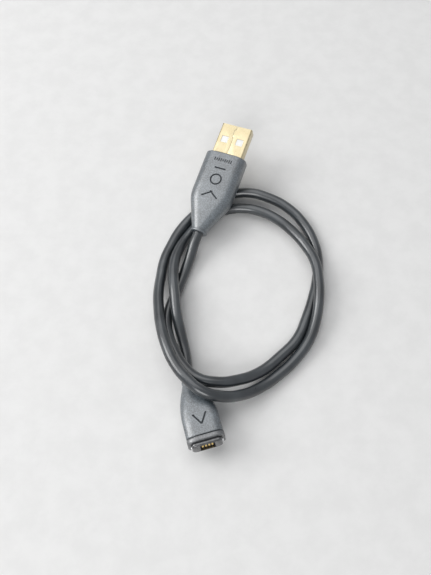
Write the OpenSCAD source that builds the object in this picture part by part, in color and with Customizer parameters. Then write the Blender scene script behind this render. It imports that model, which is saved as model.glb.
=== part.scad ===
// Charging and data cable: a USB-A plug, half a metre of round cord laid in two loose loops,
// and a small four-contact charging plug with sprung contacts and two side latches.
// All sizes are millimetres. +Z is up and the cable lies on the plane Z = 0.
// Each plug is drawn in its own frame: x runs from the collar that the cord leaves to the tip,
// y runs across the width and z up through the thickness.

/* [Cord] */
// Diameter of the round cord
cord_d = 3.8; // [3.2:0.1:3.8]
// Diameter of one insulated wire
wire_d = 0.9; // [0.6:0.05:0.95]
// Thickness of the braid that is folded back over the cord's end
braid_t = 0.25; // [0.15:0.05:0.3]

/* [USB overmould] */
// Width of the grip
usb_body_w = 16; // [15:0.1:18]
// Thickness of the grip
usb_body_t = 8; // [7.4:0.1:8.4]
// Length from the collar's end to the shell's root
usb_body_l = 32; // [30:0.5:38]
// Radius along the grip's long edges
usb_corner_r = 3; // [1.5:0.1:3.3]
// Length of the tapering neck
usb_taper_l = 12.3; // [11:0.1:14]
// Diameter of the collar
usb_collar_d = 6.3; // [6:0.1:6.6]

/* [USB metalwork] */
// Width of the steel shell
usb_shell_w = 12; // [11.6:0.1:12.4]
// Thickness of the steel shell
usb_shell_t = 4.5; // [4.3:0.1:4.7]
// Sheet thickness of the shell
usb_shell_wall = 0.3; // [0.2:0.05:0.35]
// Length of shell that stands out of the grip
usb_shell_out = 12.5; // [11.5:0.1:13.5]
// Length of shell held inside the grip
usb_shell_in = 6.3; // [5.5:0.1:7]
// Side of each square window in the shell
usb_window = 2.7; // [1.5:0.1:3]
// Spacing of the two windows across the shell
usb_window_pitch = 6; // [4.5:0.1:7]
// Distance of the windows' centres from the shell's mouth
usb_window_from_tip = 6.4; // [4:0.1:8]
// Width of the slit where the bent sheet meets
usb_seam_w = 0.12; // [0.05:0.01:0.25]
// Thickness of the insulating tongue
usb_tongue_t = 1.85; // [1.6:0.05:2]
// Length of the mouth, in front of the tongue's root
usb_mouth_l = 9.2; // [8.5:0.1:10]
// Width of a flat contact
usb_contact_w = 1; // [0.7:0.05:1.3]
// Thickness of a flat contact
usb_contact_t = 0.25; // [0.15:0.05:0.35]
// Thickness of the crimped rear shield
shield_t = 0.3; // [0.2:0.05:0.4]

/* [Charging plug overmould] */
// Width of the body
dev_body_w = 12.2; // [11.6:0.1:13]
// Thickness of the body
dev_body_t = 7; // [6.8:0.1:8]
// Length from the collar's end to the seam
dev_body_l = 21.4; // [20:0.1:24]
// Radius along the body's long edges
dev_corner_r = 1.9; // [1.2:0.1:3]
// Length of the tapering neck
dev_taper_l = 9; // [7.5:0.1:9.6]
// Diameter of the collar
dev_collar_d = 6.3; // [6:0.1:6.6]
// Length of the arms of the engraved arrow
arrow_arm = 4.6; // [3:0.1:4.8]
// Depth of the engraved marks
mark_depth = 0.35; // [0.1:0.05:0.4]

/* [Charging plug nose] */
// Width of the flange behind the nose
flange_w = 12.4; // [11.8:0.1:13]
// Length of the flange
flange_l = 1.6; // [1.2:0.1:2.4]
// Gap at the seam between body and flange
seam_gap = 0.15; // [0.1:0.01:0.3]
// Width of the nose
nose_w = 10.2; // [10:0.1:10.8]
// Thickness of the nose
nose_t = 4.7; // [4.5:0.1:5.2]
// Length of the nose
nose_l = 1.2; // [1.1:0.05:1.8]
// Length of bare neck that shows between flange and nose
neck_show = 0.2; // [0.2:0.05:1]
// Width of the contact recess
recess_w = 4.9; // [4.5:0.1:5.2]
// Height of the contact recess
recess_h = 3.5; // [3.1:0.1:3.7]
// Depth of the contact recess
recess_depth = 1; // [0.7:0.05:1.2]

/* [Sprung pieces] */
// Spacing of the four contacts
contact_pitch = 1.05; // [0.95:0.01:1.15]
// Width of one contact
contact_w = 0.6; // [0.4:0.05:0.65]
// Height of one contact
contact_h = 2.6; // [1.6:0.1:2.8]
// How far the contacts sit behind the nose's face
contact_back = 0.3; // [0.1:0.05:0.6]
// Travel of one contact
contact_travel = 0.5; // [0.2:0.05:0.6]
// Height of one side latch
latch_h = 2.2; // [1.6:0.1:2.6]
// Length of one side latch
latch_l = 0.7; // [0.5:0.05:0.8]
// Thickness of one side latch
latch_t = 0.45; // [0.35:0.05:0.5]
// How far a latch stands proud of the nose's side
latch_proud = 0.2; // [0.1:0.02:0.25]
// Travel of one latch
latch_travel = 0.3; // [0.1:0.05:0.35]

/* [Hidden] */
$fn = 48;

fit_gap = 0.05;              // around pieces that are held fast
slide_gap = 0.08;            // around pieces that slide
bite = 1;                    // how far a cutter runs past the face it opens

// Where the two plugs lie, which way they point, and how far they lean to one side
usb_at = [-7.9, 19, 6.1];
usb_pitch = 12.5;
usb_heading = 69.5;
usb_roll = -4.5;
dev_pitch = 12;
dev_heading = -75.2;
dev_roll = 2.7;
dev_at = [-10, -37.4, dev_collar_d / 2 * cos(dev_pitch)];

// Necks and collars
lip_l = 1;                   // length of the raised lip at the collar's end
lip_step = 0.2;              // how far the lip stands out of the neck
usb_round = 0.2;             // how much of the taper rounds into the grip
dev_round = 0.6;             // how much of the taper rounds into the body
edge_r = 0.5;                // rounding of the plugs' front edges

// Lengths inside the USB plug
usb_jacket_in = 12.5;        // how far the cord reaches in
crimp_l = 4.2;               // length of cord under the crimp and the braid
shield_gap = 0.6;            // from the cord's end to the shield's box
crimp_start = 0.4;           // length of braid left bare behind the crimp
shield_x = usb_jacket_in + shield_gap;
shell_x = usb_body_l - usb_shell_in;
shell_tip = usb_body_l + usb_shell_out;
shield_lap = 2.3;            // how far the shield overlaps the shell
tail_l = 2.2;                // contact tail behind the tongue
tail_to_wire = 0.3;          // gap between the tail's end and the wire's end
wire_r = wire_d / 2;
joint_r = 0.55;              // solder joint
joint_l = 1.9;
joint_lift = 0.35;           // a joint's middle above its seat
joint_w = 1.4;               // width of the pocket around each joint
bundle = [0.62, 0.56];       // half spacing of the four wires inside the cord
straight = 0.6;              // straight stretch at both ends of a wire
cord_straight = 4;           // how far the cord runs straight out of a collar
tongue_top = usb_shell_t / 2 - usb_shell_wall - fit_gap;
tongue_low = tongue_top - usb_tongue_t;
usb_pin_y = [3.5, 1, -1, -3.5];
usb_pin_short = [0, 1, 1, 0];  // the two data contacts end this much sooner
tongue_back = 0.4;           // how far the tongue ends behind the mouth
pin_back = 1.1;              // how far the contacts end behind the tongue's end
seam_teeth_l = 5;            // length of the interlocking stretch of the seam
seam_tooth = 0.45;           // how far the interlock steps aside
window_low = 0.1;            // how far the insulator ends below the windows' outer edge

// Engraved marks
stroke_w = 0.6;              // width of every engraved stroke
bar_back = 6.6;              // the bar, from the grip's front end
bar_l = 4.4;
ring_back = 11.2;            // the ring's centre, from the grip's front end
ring_r = 2.3;                // outer radius
arrow_back = 3.6;            // the arrow's point, from the seam
arrow_half_angle = 30;

// Lengths inside the charging plug
dev_jacket_in = 6;
dev_crimp_l = 3;
flange_x = dev_body_l + seam_gap;
nose_x = flange_x + flange_l + neck_show;
nose_tip = nose_x + nose_l;
neck_w = 9;
neck_t = 4;
root_l = 3.9;                // nose root held inside the body
root_t = 4.4;
nose_corner = 1.4;
mould_side = 2.1;            // from the body's side to the inner mould
mould_cover = 1.25;          // from the body's top to the inner mould
mould_neck_side = 0.15;      // the same two for its neck, from the collar's diameter
mould_neck_cover = 1;
mould_w = dev_body_w - 2 * mould_side;
mould_t = dev_body_t - 2 * mould_cover;
mould_neck_w = dev_collar_d - 2 * mould_neck_side;
mould_neck_t = dev_collar_d - 2 * mould_neck_cover;
mould_neck_l = dev_taper_l / 3;
board_l = 4.1;
board_w = 7.2;
board_t = 0.8;
board_top = -0.1;
board_gap = 0.15;            // from the board to the nose's root
root_x = dev_body_l - root_l;
board_x = root_x - board_l - board_gap;
dev_wire_y = [2.4, 0.8, -0.8, -2.4];
wire_lift = 0.04;            // the wires' clearance above the board
wire_on_board = 0.6;
dev_wire_z = board_top + wire_r + wire_lift;
dev_wire_end = board_x + wire_on_board;
dev_joint_l = 1.3;
tail_w = 0.4;
tail_t = 0.25;
tail_on_board = 1.6;         // contact tail that lies on the board
tail_in_root = 1.3;          // contact tail inside the nose's root
head_room = 0.5;             // free length behind a contact that is pushed right in
slot_gap = 0.2;              // wall between the tails and the contacts' slots
slot_x = root_x + tail_in_root + slot_gap;
head_x = slot_x + head_room + contact_travel;
head_tip = nose_tip - contact_back;
crimp_r = cord_d / 2 + fit_gap + braid_t + fit_gap;
ring_start = 0.3;            // how far the crimp ring stays inside the braid's ends
ring_end = 0.2;

function lerp(a, b, t) = a + (b - a) * t;
function ease(t) = t * t * (3 - 2 * t);
function unit(v) = v / norm(v);
// A straight ramp from 0 to 1 that rounds over at its top
function shoulder(t, k) =
    t < 0 ? 0 : t < 1 - k ? t : t > 1 + k ? 1 : 1 - pow(1 + k - t, 2) / (4 * k);
function plug_dir(pitch, heading) =
    [cos(pitch) * cos(heading), cos(pitch) * sin(heading), sin(pitch)];
function usb_point(x) = usb_at + x * plug_dir(usb_pitch, usb_heading);
function dev_point(x) = dev_at + x * plug_dir(dev_pitch, dev_heading);

// The cord's middle line: straight out of each collar, and two loose loops between
route = concat(
    [for (x = [usb_jacket_in, usb_jacket_in / 2, 0, -cord_straight]) usb_point(x)],
    [[-10.8, 10.4, 3.5], [-12.6, 5.2, 2.4], [-14.5, -0.1, 2], [-16.3, -5.3, 2.2],
    [-17.9, -10.4, 3], [-18.6, -15.7, 4.1], [-17.7, -21.7, 5.5], [-15.3, -28.1, 6.9],
    [-12, -34, 8], [-7.4, -38, 8.2], [-1.5, -39.2, 7.6], [5.7, -38, 5.9], [13.8, -34.2, 3.3],
    [21.1, -28.1, 2.3], [27.2, -21.6, 2], [31, -13.5, 2], [33.8, -5.6, 2], [35.7, 1.8, 2],
    [36.5, 9.2, 2], [35.5, 16.9, 2.2], [31.9, 25, 3], [26.1, 31.6, 3.8], [18.8, 36.1, 4],
    [11.3, 38.6, 3.6], [3.8, 38.2, 2.7], [-3.3, 34.9, 2.1], [-10, 28.9, 2], [-14.8, 22.7, 2],
    [-18.1, 15.9, 2.1], [-20.4, 9.2, 2.7], [-21.4, 2.1, 3.3], [-21.9, -4.9, 4.8],
    [-21.4, -12, 6.6], [-20.3, -19.2, 8.3], [-18.3, -26.5, 9.8], [-15.2, -33.6, 10.8],
    [-10.8, -39.4, 11.4], [-5.7, -43.4, 11], [0.3, -44.5, 9.1], [6.8, -43.1, 5.8],
    [13.6, -39.7, 3.2], [20.1, -34.9, 2.1], [26, -29.4, 2.1], [30.9, -22.9, 3], [33.8, -15.6, 4.3],
    [35.2, -7.8, 5.8], [35.5, -0.4, 6.2], [34.8, 7, 5.8], [32.1, 14, 4.6], [27.8, 20.5, 4],
    [22.3, 26, 3.9], [16.1, 29.9, 3.5], [9.6, 31.9, 2.8], [3.2, 31.7, 2.3], [-3, 29.8, 2.2],
    [-8.2, 24.9, 2], [-12.1, 19.4, 2.5], [-15.1, 13, 4], [-16.6, 6.4, 5.5], [-16.6, -0.2, 6.4],
    [-16, -6.7, 6.7], [-15.2, -13.2, 5.9], [-13.7, -20, 3.9], [-12.1, -26.8, 2.5]],
    [for (x = [-cord_straight, 0, dev_jacket_in / 2, dev_jacket_in]) dev_point(x)]);

module at_usb() {
    translate(usb_at) rotate([0, -usb_pitch, usb_heading]) rotate([usb_roll, 0, 0])
        children();
}

module at_charger() {
    translate(dev_at) rotate([0, -dev_pitch, dev_heading]) rotate([dev_roll, 0, 0])
        children();
}

// A box from x0 to x1, centred across and from z0 to z1
module block(x0, x1, w, z0, z1, y = 0) {
    translate([x0, y - w / 2, z0]) cube([x1 - x0, w, z1 - z0]);
}

// A round bar or cutter along x
module bar(x0, x1, r, y = 0, z = 0) {
    translate([x0, y, z]) rotate([0, 90, 0]) cylinder(r = r, h = x1 - x0);
}

// A rounded rectangle pulled along x
module slab(x0, x1, w, t, r) {
    translate([x0, 0, 0]) rotate([90, 0, 90]) linear_extrude(x1 - x0) {
        square([w - 2 * r, t], center = true);
        square([w, t - 2 * r], center = true);
        for (y = [-1, 1], z = [-1, 1])
            translate([y * (w / 2 - r), z * (t / 2 - r)]) circle(r = r);
    }
}

// One cross-section of an overmould: a rounded rectangle of 4 x steps points at x
function section(x, hw, ht, r, steps = 8) = [for (q = [0:3], j = [0:steps - 1])
    let (a = 90 * (q + (j + 0.5) / steps))
    [x, (q == 0 || q == 3 ? 1 : -1) * (hw - r) + r * cos(a), (q < 2 ? 1 : -1) * (ht - r) + r * sin(a)]];

// A closed skin through rings that all have as many points
module skin(rings) {
    n = len(rings[0]);
    last = len(rings) - 1;
    polyhedron(
        points = [for (ring = rings, p = ring) p],
        faces = concat(
            [[for (i = [0:n - 1]) i]],
            [[for (i = [n - 1:-1:0]) last * n + i]],
            [for (s = [0:last - 1], i = [0:n - 1]) let (j = (i + 1) % n)
                each [[s * n + i, (s + 1) * n + i, s * n + j],
                [s * n + j, (s + 1) * n + i, (s + 1) * n + j]]]),
        convexity = 8);
}

// An overmould: raised lip, tapering neck, and a body with rounded long edges
module overmould(body_l, body_w, body_t, corner_r, collar_d, taper_l, k) {
    lip_r = collar_d / 2;
    neck_r = lip_r - lip_step;
    steps = 14;
    reach = taper_l * (1 + k);
    function neck(x) = let (f = shoulder((x - lip_l) / taper_l, k))
        section(x, lerp(neck_r, body_w / 2, f), lerp(neck_r, body_t / 2, f),
            lerp(neck_r, corner_r, f));
    skin(concat(
        [section(0, lip_r - lip_step, lip_r - lip_step, lip_r - lip_step),
        section(lip_step, lip_r, lip_r, lip_r),
        section(lip_l - lip_step, lip_r, lip_r, lip_r)],
        [for (i = [0:steps]) neck(lip_l + reach * i / steps)],
        [section(body_l - edge_r, body_w / 2, body_t / 2, corner_r),
        section(body_l - edge_r * 0.3, body_w / 2 - edge_r * 0.3, body_t / 2 - edge_r * 0.3,
            corner_r),
        section(body_l, body_w / 2 - edge_r, body_t / 2 - edge_r, corner_r - edge_r * 0.3)]));
}

// A round tube of small flats swept along a line of points
module swept(points, r, sides) {
    last = len(points) - 1;
    skin([for (i = [0:last])
        let (ahead = unit(points[min(i + 1, last)] - points[max(i - 1, 0)]),
            side = unit(cross(ahead, [0, 0, 1])),
            up = cross(side, ahead))
        [for (j = [0:sides - 1]) let (a = -360 * (j + 0.5) / sides)
            points[i] + r * (cos(a) * side + sin(a) * up)]]);
}

// The middle line of a wire that spreads from the bundle to its own pin
function wire_line(x0, x1, from, to) = concat(
    [[x0, from[0], from[1]]],
    [for (i = [0:8]) let (t = i / 8)
        [lerp(x0 + straight, x1 - straight, t), lerp(from[0], to[0], ease(t)),
        lerp(from[1], to[1], ease(t))]],
    [[x1, to[0], to[1]]]);

bundle_at = [[bundle[0], -bundle[1]], [bundle[0], bundle[1]], [-bundle[0], bundle[1]],
    [-bundle[0], -bundle[1]]];
usb_wire_end = shell_x - tail_l - tail_to_wire;
usb_joint_z = tongue_low + usb_contact_t + joint_lift;

function usb_wire_line(i) =
    wire_line(usb_jacket_in, usb_wire_end, bundle_at[i], [usb_pin_y[i], usb_joint_z]);
function dev_wire_line(i) =
    wire_line(dev_jacket_in, dev_wire_end, bundle_at[i], [dev_wire_y[i], dev_wire_z]);

module usb_shell() {
    color([0.93, 0.86, 0.70]) at_usb() difference() {
        slab(shell_x, shell_tip, usb_shell_w, usb_shell_t, usb_shell_wall * 2);
        slab(shell_x - bite, shell_tip + bite, usb_shell_w - 2 * usb_shell_wall,
            usb_shell_t - 2 * usb_shell_wall, usb_shell_wall);
        for (y = [-1, 1])
            block(window_x() - usb_window / 2, window_x() + usb_window / 2, usb_window,
                -usb_shell_t, usb_shell_t, y * usb_window_pitch / 2);
        seam();
    }
}

function window_x() = shell_tip - usb_window_from_tip;

// The slit in the upper face: straight, with one interlocking step near the mouth
module seam() {
    step_from = shell_tip - seam_teeth_l;
    step_to = shell_tip - seam_teeth_l / 3;
    module cut(x0, x1, y) {
        block(x0, x1, usb_seam_w, 0, usb_shell_t, y);
    }
    cut(shell_x - bite, step_from + usb_seam_w, 0);
    cut(step_from, step_to + usb_seam_w, seam_tooth);
    cut(step_to, shell_tip + bite, 0);
    for (x = [step_from, step_to])
        block(x, x + usb_seam_w, seam_tooth + usb_seam_w, 0, usb_shell_t, seam_tooth / 2);
}

module usb_tongue() {
    root_tip = shell_tip - usb_mouth_l;
    inner_w = usb_shell_w - 2 * usb_shell_wall - 2 * fit_gap;
    pad = usb_window - 2 * fit_gap;
    color([0.95, 0.95, 0.93]) at_usb() difference() {
        union() {
            intersection() {
                slab(shell_x, shell_tip, inner_w, 2 * tongue_top, usb_shell_wall);
                union() {
                    block(shell_x, root_tip, inner_w, -tongue_top, tongue_top);
                    block(shell_x, shell_tip - tongue_back, inner_w, tongue_low, tongue_top);
                }
            }
            // raised pads that fill the two upper windows
            for (y = [-1, 1])
                block(window_x() - pad / 2, window_x() + pad / 2, pad, tongue_low,
                    usb_shell_t / 2 - window_low, y * usb_window_pitch / 2);
        }
        for (i = [0:3])
            block(shell_x - bite, usb_pin_tip(i) + fit_gap, usb_contact_w + 2 * fit_gap,
                tongue_low - fit_gap, tongue_low + usb_contact_t, usb_pin_y[i]);
    }
}

function usb_pin_tip(i) = shell_tip - tongue_back - pin_back - usb_pin_short[i];

module usb_contact(i) {
    color([0.86, 0.70, 0.36]) at_usb()
        block(shell_x - tail_l, usb_pin_tip(i), usb_contact_w, tongue_low,
            tongue_low + usb_contact_t, usb_pin_y[i]);
}

// A solder joint: a round bead with a flat seat at z = seat
module joint(x0, x1, y, z, seat) {
    difference() {
        bar(x0, x1, joint_r, y, z);
        block(x0 - bite, x1 + bite, 4 * joint_r, seat - 2 * joint_r, seat, y);
    }
}

module usb_solder_joints() {
    color([0.72, 0.73, 0.74]) at_usb() for (i = [0:3])
        joint(usb_wire_end, usb_wire_end + joint_l, usb_pin_y[i], usb_joint_z,
            tongue_low + usb_contact_t);
}

module usb_inner_mould() {
    color([0.90, 0.90, 0.86]) at_usb() difference() {
        block(shield_x + shield_t + fit_gap, shell_x, usb_shell_w - fit_gap,
            -usb_shell_t / 2, usb_shell_t / 2);
        for (i = [0:3]) {
            swept(usb_wire_line(i), wire_r + fit_gap / 2, 8);
            block(usb_wire_end - fit_gap, shell_x + bite, joint_w, tongue_low - fit_gap,
                usb_joint_z + joint_r + fit_gap, usb_pin_y[i]);
        }
    }
}

module usb_rear_shield() {
    inner_w = usb_shell_w + 2 * fit_gap;
    inner_t = usb_shell_t + 2 * fit_gap;
    color([0.70, 0.71, 0.72]) at_usb() difference() {
        union() {
            block(shield_x, shell_x + shield_lap, inner_w + 2 * shield_t,
                -inner_t / 2 - shield_t, inner_t / 2 + shield_t);
            bar(usb_jacket_in - crimp_l + crimp_start, shield_x + shield_t, crimp_r + shield_t);
        }
        block(shield_x + shield_t, shell_x + shield_lap + bite, inner_w, -inner_t / 2,
            inner_t / 2);
        bar(usb_jacket_in - crimp_l - bite, shield_x + bite, crimp_r);
    }
}

// A sleeve of braid folded back over the cord's end
module braid_sleeve(x0, x1) {
    difference() {
        bar(x0, x1, cord_d / 2 + fit_gap + braid_t);
        bar(x0 - bite, x1 + bite, cord_d / 2 + fit_gap);
    }
}

module usb_braid_sleeve() {
    color([0.78, 0.74, 0.68]) at_usb() braid_sleeve(usb_jacket_in - crimp_l, usb_jacket_in);
}

// The bar and the ring engraved on the grip
module usb_marks() {
    top = usb_body_t / 2 - mark_depth;
    bar_x = usb_body_l - bar_back;
    block(bar_x - stroke_w / 2, bar_x + stroke_w / 2, bar_l, top, top + bite);
    translate([usb_body_l - ring_back, 0, top]) difference() {
        cylinder(r = ring_r, h = bite);
        translate([0, 0, -bite / 2]) cylinder(r = ring_r - stroke_w, h = 2 * bite);
    }
}

module usb_overmould() {
    color([0.10, 0.10, 0.11]) at_usb() difference() {
        overmould(usb_body_l, usb_body_w, usb_body_t, usb_corner_r, usb_collar_d, usb_taper_l,
            usb_round);
        bar(-bite, shield_x + fit_gap, cord_d / 2 + fit_gap);
        bar(usb_jacket_in - crimp_l - fit_gap, shield_x + fit_gap, crimp_r + shield_t + fit_gap);
        block(shield_x - fit_gap, shell_x + shield_lap + fit_gap,
            usb_shell_w + 2 * shield_t + 4 * fit_gap, -usb_shell_t / 2 - shield_t - 2 * fit_gap,
            usb_shell_t / 2 + shield_t + 2 * fit_gap);
        block(shell_x, usb_body_l + bite, usb_shell_w + 2 * fit_gap,
            -usb_shell_t / 2 - fit_gap, usb_shell_t / 2 + fit_gap);
        usb_marks();
    }
}

module usb_wire(i, tint) {
    color(tint) at_usb() swept(usb_wire_line(i), wire_r, 8);
}

module cord_jacket() {
    color([0.09, 0.09, 0.10]) swept(route, cord_d / 2, 10);
}

// The arrow engraved on the body, pointing at the nose
module arrow() {
    for (side = [-1, 1])
        translate([dev_body_l - arrow_back, 0, dev_body_t / 2 - mark_depth])
            rotate([0, 0, side * (180 - arrow_half_angle)])
                translate([-stroke_w / 2, -stroke_w / 2, 0]) cube([arrow_arm, stroke_w, bite]);
}

module charger_overmould() {
    color([0.10, 0.10, 0.11]) at_charger() difference() {
        overmould(dev_body_l, dev_body_w, dev_body_t, dev_corner_r, dev_collar_d, dev_taper_l,
            dev_round);
        bar(-bite, dev_jacket_in + fit_gap, cord_d / 2 + fit_gap);
        bar(dev_jacket_in - dev_crimp_l - fit_gap, dev_jacket_in + fit_gap,
            crimp_r + shield_t + fit_gap);
        block(dev_jacket_in, dev_jacket_in + mould_neck_l + fit_gap, mould_neck_w + 2 * fit_gap,
            -mould_neck_t / 2 - fit_gap, mould_neck_t / 2 + fit_gap);
        block(dev_jacket_in + mould_neck_l - fit_gap, root_x + fit_gap, mould_w + 2 * fit_gap,
            -mould_t / 2 - fit_gap, mould_t / 2 + fit_gap);
        block(root_x - fit_gap, dev_body_l + bite, neck_w + 2 * fit_gap,
            -root_t / 2 - fit_gap, root_t / 2 + fit_gap);
        arrow();
    }
}

module charger_flange() {
    step = 0.3;              // the band's edges stand this far back
    color([0.11, 0.11, 0.12]) at_charger() difference() {
        union() {
            slab(flange_x, flange_x + flange_l, flange_w - 2 * step, dev_body_t - 2 * step,
                dev_corner_r - step);
            slab(flange_x + step, flange_x + flange_l - step, flange_w, dev_body_t,
                dev_corner_r);
        }
        block(flange_x - bite, flange_x + flange_l + bite, neck_w + 2 * fit_gap,
            -neck_t / 2 - fit_gap, neck_t / 2 + fit_gap);
    }
}

function contact_y(i) = (i - 1.5) * contact_pitch;

module charger_nose() {
    pocket = latch_t - latch_proud + latch_travel + fit_gap;
    color([0.07, 0.07, 0.08]) at_charger() difference() {
        union() {
            block(root_x, dev_body_l, neck_w, -root_t / 2, root_t / 2);
            block(dev_body_l - fit_gap, nose_x + fit_gap, neck_w, -neck_t / 2, neck_t / 2);
            slab(nose_x, nose_tip, nose_w, nose_t, nose_corner);
        }
        block(nose_tip - recess_depth, nose_tip + bite, recess_w, -recess_h / 2, recess_h / 2);
        for (i = [0:3]) {
            block(slot_x, nose_tip - recess_depth + bite / 2, contact_w + 2 * slide_gap,
                -contact_h / 2 - slide_gap, contact_h / 2 + slide_gap, contact_y(i));
            block(root_x - bite, slot_x + bite / 2, tail_w + 2 * fit_gap, board_top - fit_gap,
                board_top + tail_t + fit_gap, contact_y(i));
        }
        for (side = [-1, 1])
            block(latch_x() - slide_gap, latch_x() + latch_l + slide_gap, 2 * pocket,
                -latch_h / 2 - slide_gap, latch_h / 2 + slide_gap, side * nose_w / 2);
    }
}

function latch_x() = nose_x + (nose_l - latch_l) / 2;

module charger_contact(i) {
    r = contact_h / 2;
    color([0.88, 0.70, 0.33]) at_charger() {
        block(head_x, head_tip - r, contact_w, -r, r, contact_y(i));
        translate([head_tip - r, contact_y(i) + contact_w / 2, 0]) rotate([90, 0, 0])
            cylinder(r = r, h = contact_w);
    }
}

module charger_contact_tails() {
    color([0.88, 0.70, 0.33]) at_charger() for (i = [0:3])
        block(root_x - tail_on_board, root_x + tail_in_root, tail_w, board_top,
            board_top + tail_t, contact_y(i));
}

module charger_latch(side) {
    outer = nose_w / 2 + latch_proud;
    color([0.75, 0.76, 0.78]) at_charger() difference() {
        block(latch_x(), latch_x() + latch_l, latch_t, -latch_h / 2, latch_h / 2,
            side * (outer - latch_t / 2));
        // the ends slope in so that the latch rides over an edge
        for (x = [latch_x(), latch_x() + latch_l])
            translate([x, side * outer, 0]) rotate([0, 0, 45])
                cube([latch_proud, latch_proud, latch_h + bite], center = true);
    }
}

module charger_circuit_board() {
    color([0.10, 0.36, 0.20]) at_charger()
        block(board_x, board_x + board_l, board_w, board_top - board_t, board_top);
}

module charger_solder_joints() {
    color([0.72, 0.73, 0.74]) at_charger() for (i = [0:3])
        joint(dev_wire_end, dev_wire_end + dev_joint_l, dev_wire_y[i], board_top + joint_lift,
            board_top);
}

module charger_inner_mould() {
    color([0.90, 0.90, 0.86]) at_charger() difference() {
        union() {
            block(dev_jacket_in + fit_gap, dev_jacket_in + mould_neck_l, mould_neck_w,
                -mould_neck_t / 2, mould_neck_t / 2);
            block(dev_jacket_in + mould_neck_l - fit_gap, root_x - fit_gap, mould_w,
                -mould_t / 2, mould_t / 2);
        }
        for (i = [0:3]) {
            swept(dev_wire_line(i), wire_r + fit_gap / 2, 8);
            block(dev_wire_end - fit_gap, dev_wire_end + dev_joint_l + fit_gap, joint_w,
                board_top - fit_gap, board_top + joint_lift + joint_r + fit_gap, dev_wire_y[i]);
            block(root_x - tail_on_board - fit_gap, root_x + bite, tail_w + 2 * fit_gap,
                board_top - fit_gap, board_top + tail_t + fit_gap, contact_y(i));
        }
        block(board_x - fit_gap, board_x + board_l + fit_gap, board_w + 2 * fit_gap,
            board_top - board_t - fit_gap, board_top + fit_gap);
    }
}

module charger_crimp_ring() {
    color([0.70, 0.71, 0.72]) at_charger() difference() {
        bar(dev_jacket_in - dev_crimp_l + ring_start, dev_jacket_in - ring_end,
            crimp_r + shield_t);
        bar(0, dev_jacket_in + bite, crimp_r);
    }
}

module charger_braid_sleeve() {
    color([0.78, 0.74, 0.68]) at_charger()
        braid_sleeve(dev_jacket_in - dev_crimp_l, dev_jacket_in);
}

module charger_wire(i, tint) {
    color(tint) at_charger() swept(dev_wire_line(i), wire_r, 8);
}

usb_shell();
usb_tongue();
usb_contact(0);  // usb_contact_power
usb_contact(1);  // usb_contact_data_minus
usb_contact(2);  // usb_contact_data_plus
usb_contact(3);  // usb_contact_ground
usb_solder_joints();
usb_inner_mould();
usb_rear_shield();
usb_braid_sleeve();
usb_overmould();
usb_wire(0, "red");  // usb_wire_red
usb_wire(1, "white");  // usb_wire_white
usb_wire(2, "green");  // usb_wire_green
usb_wire(3, "black");  // usb_wire_black
cord_jacket();
charger_overmould();
charger_flange();
charger_nose();
charger_contact(0);  // charger_contact_1
charger_contact(1);  // charger_contact_2
charger_contact(2);  // charger_contact_3
charger_contact(3);  // charger_contact_4
charger_contact_tails();
charger_latch(1);  // charger_latch_left
charger_latch(-1);  // charger_latch_right
charger_circuit_board();
charger_solder_joints();
charger_inner_mould();
charger_crimp_ring();
charger_braid_sleeve();
charger_wire(0, "red");  // charger_wire_red
charger_wire(1, "white");  // charger_wire_white
charger_wire(2, "green");  // charger_wire_green
charger_wire(3, "black");  // charger_wire_black
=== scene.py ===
# %% [markdown]
# # A coiled charging cable
# This lesson dresses a cable that is already built as solids: a USB plug, a small charging plug
# with sprung contacts, and half a metre of round cord in two loose loops. The solids say where
# everything is. Here each visible piece gets its final shape and its finish.

# %% Load the solids
from math import cos, pi, radians, sin

import bpy
from mathutils import Matrix, Vector


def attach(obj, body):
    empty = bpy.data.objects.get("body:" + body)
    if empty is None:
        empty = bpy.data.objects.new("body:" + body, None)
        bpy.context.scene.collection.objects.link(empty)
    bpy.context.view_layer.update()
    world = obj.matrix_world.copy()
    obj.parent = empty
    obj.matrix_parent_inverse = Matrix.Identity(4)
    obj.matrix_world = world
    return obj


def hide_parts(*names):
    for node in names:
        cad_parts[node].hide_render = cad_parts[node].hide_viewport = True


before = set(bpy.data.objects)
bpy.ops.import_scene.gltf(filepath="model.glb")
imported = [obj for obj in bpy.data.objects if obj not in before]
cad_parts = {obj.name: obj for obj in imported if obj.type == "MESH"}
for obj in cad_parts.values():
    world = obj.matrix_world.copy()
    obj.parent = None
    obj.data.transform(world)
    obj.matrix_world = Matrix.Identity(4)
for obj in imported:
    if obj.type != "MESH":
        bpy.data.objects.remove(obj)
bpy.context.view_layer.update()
MM = 0.001
print("solids loaded:", len(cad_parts))

# %% [markdown]
# ## The camera
# The cable lies on a table and is seen from above and a little from the front, as a person who
# stands at the table sees it. The camera is tilted 26 degrees from straight down. A real camera
# this close has clear perspective, so the lens is set from its angle of view and not guessed.

# %% Camera
LOOK_AT = Vector((-1.5, -0.6, 0)) * MM
CAMERA_TILT = radians(26)
CAMERA_AWAY = 242.6 * MM
CAMERA_LENS = 41.32
NEAREST_SEEN = 5 * MM
camera_data = bpy.data.cameras.new("camera")
camera_data.lens = CAMERA_LENS
camera_data.clip_start = NEAREST_SEEN
camera = bpy.data.objects.new("camera", camera_data)
camera.location = LOOK_AT + CAMERA_AWAY * Vector((0, -sin(CAMERA_TILT), cos(CAMERA_TILT)))
camera.rotation_euler = (CAMERA_TILT, 0, 0)
bpy.context.scene.collection.objects.link(camera)
bpy.context.scene.camera = camera

# %% [markdown]
# ## Where the two plugs lie
# Each plug is easiest to shape in its own frame: x runs from the collar, where the cord goes in,
# to the tip, y across the width and z through the thickness, all in millimetres. A matrix then
# carries the finished mesh to the place where the plug lies, and turns millimetres into metres.
# A real plug that lies on a table leans a little, and these angles hold that.

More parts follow.
